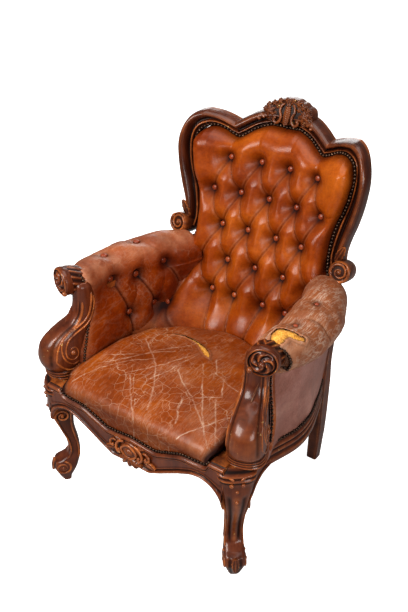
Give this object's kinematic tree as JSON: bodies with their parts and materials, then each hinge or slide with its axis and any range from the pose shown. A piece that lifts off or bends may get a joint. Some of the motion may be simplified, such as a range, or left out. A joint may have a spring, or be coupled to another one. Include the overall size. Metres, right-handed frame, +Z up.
{
  "type": "carved button-back armchair",
  "caption": "Worn armchair with a carved show-wood frame, deep-buttoned leather back and rolled arms, a cracked leather seat and nailed edges.",
  "frame": {"origin": "on the floor, under the middle of the chair's bounding box", "axes": "+X to the right as seen by someone facing the chair, +Y to the rear, +Z up; the chair faces -Y"},
  "size_m": [0.7864, 0.8252, 1.0795],
  "materials": {
    "show_wood": "polished dark red mahogany, glossy, worn lighter on its edges and chipped",
    "inner_wood": "plain sawn beech, unpolished",
    "webbing": "dark elastic webbing",
    "foam": "aged orange-yellow foam",
    "back_leather": "glossy cognac leather, deep buttoned, darker in the pleats",
    "arm_leather": "faded cognac leather, scratched matt on top of the arms",
    "seat_leather": "dry tan leather with pale branching cracks",
    "outside_leather": "dull plum-brown leather",
    "dust_cloth": "thin black cloth",
    "nails": "dark antique bronze"
  },
  "bodies": {
    "root": {"front_leg_right": "show_wood", "front_leg_left": "show_wood", "arm_post_right": "show_wood", "arm_post_left": "show_wood", "rear_leg_right": "show_wood", "rear_leg_left": "show_wood", "side_rail_right": "show_wood", "side_rail_left": "show_wood", "back_stile_right": "show_wood", "back_stile_left": "show_wood", "crest_rail": "show_wood", "front_rail": "show_wood", "rear_rail": "show_wood", "arm_rail_right": "inner_wood", "arm_rail_left": "inner_wood", "lower_back_rail": "inner_wood", "front_corner_block_right": "inner_wood", "front_corner_block_left": "inner_wood", "rear_corner_block_right": "inner_wood", "rear_corner_block_left": "inner_wood", "seat_strap_1": "webbing", "seat_strap_2": "webbing", "seat_strap_3": "webbing", "seat_strap_4": "webbing", "seat_cross_strap_1": "webbing", "seat_cross_strap_2": "webbing", "seat_cross_strap_3": "webbing", "back_strap_1": "webbing", "back_strap_2": "webbing", "back_strap_3": "webbing", "back_foam": "foam", "back_cover": "back_leather", "arm_foam_right": "foam", "arm_foam_left": "foam", "arm_cover_right": "arm_leather", "arm_cover_left": "arm_leather", "seat_foam": "foam", "seat_cover": "seat_leather", "outside_arm_panel_right": "outside_leather", "outside_arm_panel_left": "outside_leather", "outside_back_panel": "outside_leather", "dust_cover": "dust_cloth", "back_nails": "nails", "front_nails": "nails", "inner_post_nails_right": "nails", "inner_post_nails_left": "nails", "outer_post_nails_right": "nails", "outer_post_nails_left": "nails", "side_nails_right": "nails", "side_nails_left": "nails", "rear_nails": "nails"}
  },
  "joints": []
}
